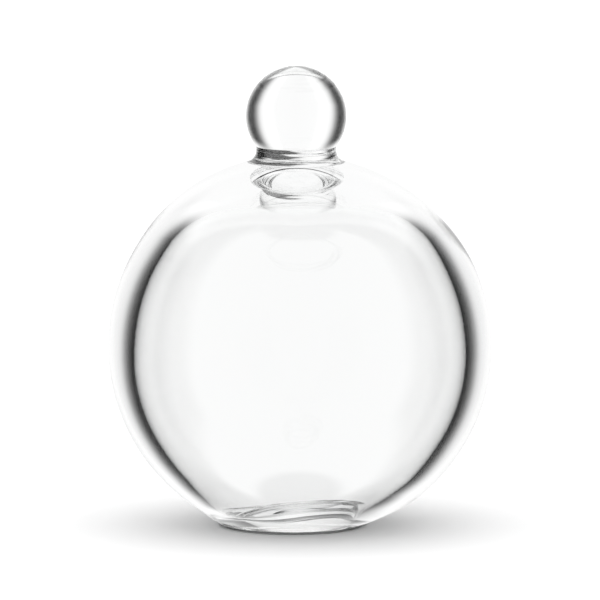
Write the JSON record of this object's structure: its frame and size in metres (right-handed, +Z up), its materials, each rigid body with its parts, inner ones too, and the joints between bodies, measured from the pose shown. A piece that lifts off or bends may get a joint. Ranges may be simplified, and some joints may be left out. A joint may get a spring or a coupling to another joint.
{
  "type": "bell jar dome",
  "caption": "Round thick-walled clear glass dome with an open mouth, a ground rim and a solid ball knob, set over a small exhibit.",
  "frame": {"origin": "centre of the ground rim's plane, which is the flat face the dome rests on", "axes": "+Z up along the axis of revolution, from the rim to the knob; the part is the same seen from every side, so X and Y are free"},
  "size_m": [0.13, 0.13, 0.1565],
  "materials": {
    "dome_glass": "clear, fire polished, with a ground rim",
    "knob_glass": "clear, fire polished, with faint tool marks at the waist"
  },
  "bodies": {
    "root": {"dome_shell": "dome_glass", "knob_collar": "knob_glass", "knob_ball": "knob_glass"}
  },
  "joints": []
}
